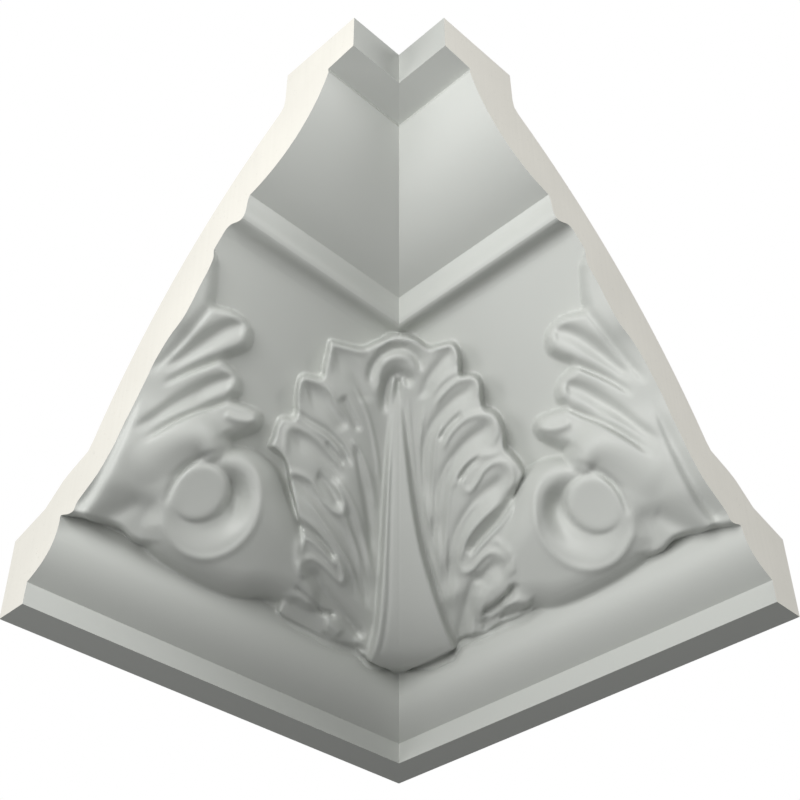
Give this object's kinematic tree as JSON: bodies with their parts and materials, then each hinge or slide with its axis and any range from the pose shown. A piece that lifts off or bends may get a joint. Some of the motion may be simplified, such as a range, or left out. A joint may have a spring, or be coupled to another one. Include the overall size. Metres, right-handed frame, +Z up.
{
  "type": "inside corner moulding",
  "caption": "Carved crown moulding corner for a ceiling, with an acanthus leaf over the mitre and a scroll on each leg",
  "frame": {"origin": "middle of the bounding box in x and y, on the lower edge in z", "axes": "+Z up to the ceiling, +X along the corner's width, +Y into the corner of the room; the carved face looks to -Y and down"},
  "size_m": [0.2078, 0.1958, 0.1303],
  "materials": {
    "primed_foam": "light grey primer, matt"
  },
  "bodies": {
    "root": {"corner_moulding": "primed_foam"}
  },
  "joints": []
}
